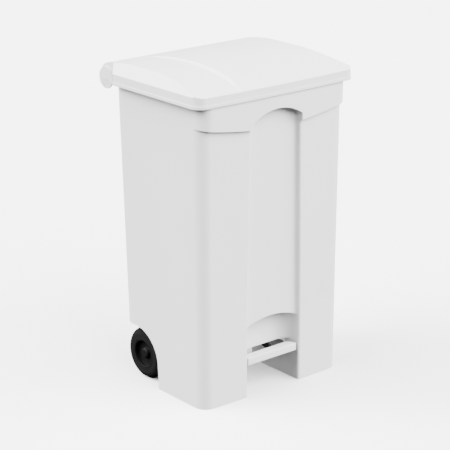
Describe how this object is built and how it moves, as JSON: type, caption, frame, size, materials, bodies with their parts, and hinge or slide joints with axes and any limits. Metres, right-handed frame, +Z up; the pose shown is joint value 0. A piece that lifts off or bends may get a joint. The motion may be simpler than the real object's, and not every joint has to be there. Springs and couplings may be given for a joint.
{
  "type": "pedal bin",
  "caption": "White wheeled pedal bin: tapered tub with a front pedal recess, hinged lid lifted by a push rod, rear wheels",
  "frame": {"origin": "on the floor, under the middle of the closed bin", "axes": "+X to the bin's right seen from the front, -Y is the front with the pedal, +Z up"},
  "size_m": [0.5, 0.4102, 0.8263],
  "materials": {
    "white_plastic": "moulded polypropylene, fine satin grain",
    "black_plastic": "moulded, satin",
    "tyre": "solid rubber, dull",
    "coated_steel": "dark powder coat",
    "zinc_steel": "zinc plated"
  },
  "bodies": {
    "tub_body": {"tub": "white_plastic", "hinge_rod": "zinc_steel", "pivot_rod": "zinc_steel", "axle": "zinc_steel", "rod_guide_lower": "white_plastic", "rod_guide_upper": "white_plastic", "guide_screw_lower_left": "zinc_steel", "guide_screw_lower_right": "zinc_steel", "guide_screw_upper_left": "zinc_steel", "guide_screw_upper_right": "zinc_steel", "wheel_sleeve_left": "zinc_steel", "wheel_sleeve_right": "zinc_steel", "axle_washer_left": "zinc_steel", "axle_washer_right": "zinc_steel", "pivot_clip_left": "zinc_steel", "pivot_clip_right": "zinc_steel"},
    "lid_body": {"lid": "white_plastic", "hinge_end_cap_left": "white_plastic", "hinge_end_cap_right": "white_plastic", "lid_crank": "zinc_steel", "crank_pin": "zinc_steel"},
    "pedal_body": {"pedal_plate": "white_plastic", "pedal_arm_left": "coated_steel", "pedal_arm_right": "coated_steel", "pivot_tube": "coated_steel", "pedal_cross_bar": "coated_steel", "rear_bar": "coated_steel", "plate_rivet_left": "coated_steel", "plate_rivet_right": "coated_steel"},
    "push_rod_body": {"push_rod": "zinc_steel", "rod_fork": "black_plastic", "fork_pin": "zinc_steel", "rod_cap": "black_plastic"},
    "wheel_left": {"wheel_tyre_left": "tyre", "wheel_hub_left": "black_plastic", "wheel_hub_cap_left": "black_plastic"},
    "wheel_right": {"wheel_tyre_right": "tyre", "wheel_hub_right": "black_plastic", "wheel_hub_cap_right": "black_plastic"}
  },
  "joints": [
    {"name": "lid_hinge", "type": "hinge", "parent": "tub_body", "child": "lid_body", "pos_m": [0, 0.178, 0.771], "axis": [-1, 0, 0], "range_deg": [0, 80]},
    {"name": "pedal_hinge", "type": "hinge", "parent": "tub_body", "child": "pedal_body", "pos_m": [0, 0.03, 0.12], "axis": [1, 0, 0], "range_deg": [0, 14.24]},
    {"name": "push_rod_slide", "type": "slide", "parent": "tub_body", "child": "push_rod_body", "axis": [0, 0, 1], "range_m": [0, 0.03216]},
    {"name": "wheel_left_spin", "type": "hinge", "parent": "tub_body", "child": "wheel_left", "pos_m": [-0.191, 0.0735, 0.067], "axis": [1, 0, 0], "continuous": true},
    {"name": "wheel_right_spin", "type": "hinge", "parent": "tub_body", "child": "wheel_right", "pos_m": [0.191, 0.0735, 0.067], "axis": [1, 0, 0], "continuous": true}
  ],
  "couplings": [
    {"joint": "pedal_hinge", "follows": "lid_hinge", "ratio": 0.17779},
    {"joint": "push_rod_slide", "follows": "lid_hinge", "m_per_rad": 0.023018}
  ]
}
